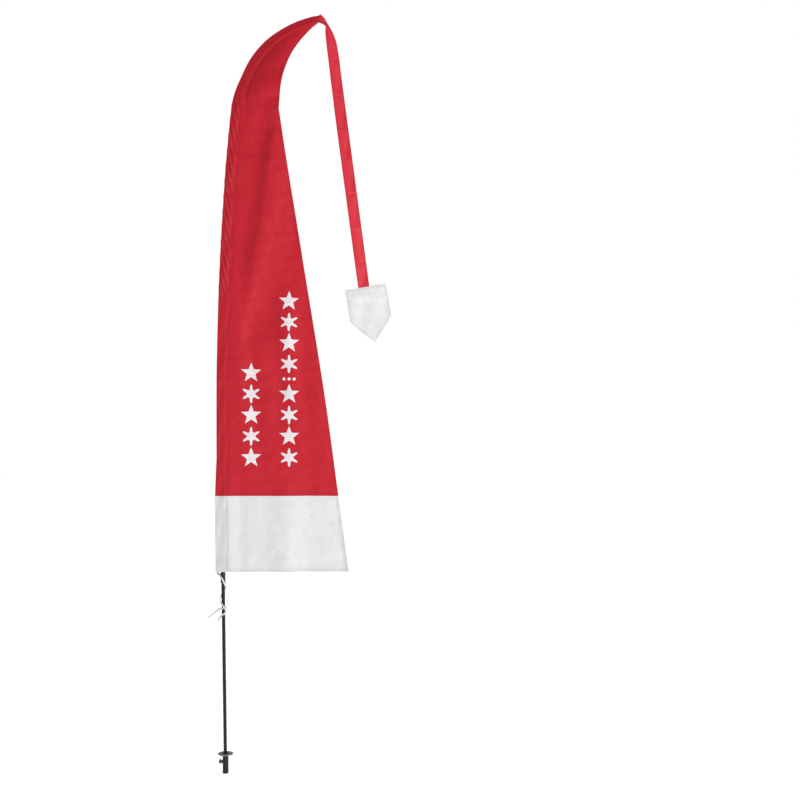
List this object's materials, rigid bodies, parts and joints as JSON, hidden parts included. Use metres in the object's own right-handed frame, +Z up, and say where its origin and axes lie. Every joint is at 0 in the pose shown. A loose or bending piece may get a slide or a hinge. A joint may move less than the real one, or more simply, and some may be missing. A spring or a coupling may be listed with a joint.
{
  "type": "feather flag with pole",
  "caption": "Tall feather flag: a tapering red and white banner with a ribbon tail and pennant, sleeved on a sprung pole that stands in a clamped ground stake.",
  "frame": {"origin": "on the stake's axis at the ground line, where the tube enters the ground", "axes": "+Z up along the stake; +X from the pole towards the flag's fly edge; the cloth hangs in the plane Y = 0"},
  "size_m": [0.5793, 0.049, 2.6307],
  "materials": {
    "stake_steel": "satin black-green paint on steel tube",
    "zinc_steel": "dull grey plated steel",
    "knob_plastic": "matte moulded",
    "black_plastic": "matte moulded",
    "pole_fibreglass": "smooth pultruded fibreglass, slight gloss",
    "ferrule_steel": "black coated steel",
    "white_cloth": "thin plain-weave polyester, slightly translucent",
    "red_cloth": "thin plain-weave polyester with a soft sheen",
    "tape_cloth": "woven cotton tape"
  },
  "bodies": {
    "stake": {"stake_tube": "stake_steel", "stake_point": "stake_steel", "foot_disc": "zinc_steel", "stop_pin": "zinc_steel", "clamp_nut": "stake_steel"},
    "clamp_screw": {"clamp_screw": "zinc_steel"},
    "clamp_knob": {"clamp_knob": "knob_plastic"},
    "lower_pole": {"pole_foot_cap": "black_plastic", "pole_lower": "pole_fibreglass", "ferrule_lower": "ferrule_steel"},
    "banner": {"pole_middle": "pole_fibreglass", "ferrule_middle": "ferrule_steel", "pole_upper": "pole_fibreglass", "ferrule_upper": "ferrule_steel", "pole_whip": "pole_fibreglass", "whip_tip_cap": "black_plastic", "sleeve_white": "white_cloth", "sleeve_red": "red_cloth", "tip_pocket": "red_cloth", "flag_band": "white_cloth", "flag_panel": "red_cloth", "tie_tape_front": "tape_cloth", "tie_tape_back": "tape_cloth"},
    "tail_head": {"tail_head": "red_cloth"},
    "tail": {"tail_ribbon": "red_cloth"},
    "pennant": {"pennant": "white_cloth", "pennant_tab": "red_cloth"}
  },
  "joints": [
    {"name": "screw_travel", "type": "slide", "parent": "stake", "child": "clamp_screw", "axis": [-1, 0, 0], "range_m": [0, 0.004]},
    {"name": "screw_turn", "type": "hinge", "parent": "clamp_screw", "child": "clamp_knob", "pos_m": [-0.02, 0, 0.036], "axis": [-1, 0, 0], "range_deg": [0, 1440]},
    {"name": "pole_lift", "type": "slide", "parent": "stake", "child": "lower_pole", "axis": [-0.0131, 0, 0.9999], "range_m": [0, 0.09]},
    {"name": "flag_turn", "type": "hinge", "parent": "lower_pole", "child": "banner", "pos_m": [-0.00826, 0, 0.63095], "axis": [-0.0131, 0, 0.9999], "continuous": true},
    {"name": "tail_swing", "type": "hinge", "parent": "banner", "child": "tail_head", "pos_m": [0.30023, 0, 2.39453], "axis": [0, 1, 0], "range_deg": [-60, 4.5]},
    {"name": "tail_lift", "type": "hinge", "parent": "tail_head", "child": "tail", "pos_m": [0.31818, 0, 2.36585], "axis": [0.9912, 0, 0.1323], "range_deg": [-75, 75]},
    {"name": "pennant_flap", "type": "hinge", "parent": "tail", "child": "pennant", "pos_m": [0.43693, 0, 1.53829], "axis": [0.9857, 0, 0.1685], "range_deg": [-80, 80]}
  ],
  "couplings": [
    {"joint": "screw_turn", "follows": "screw_travel", "rad_per_m": 6283}
  ]
}
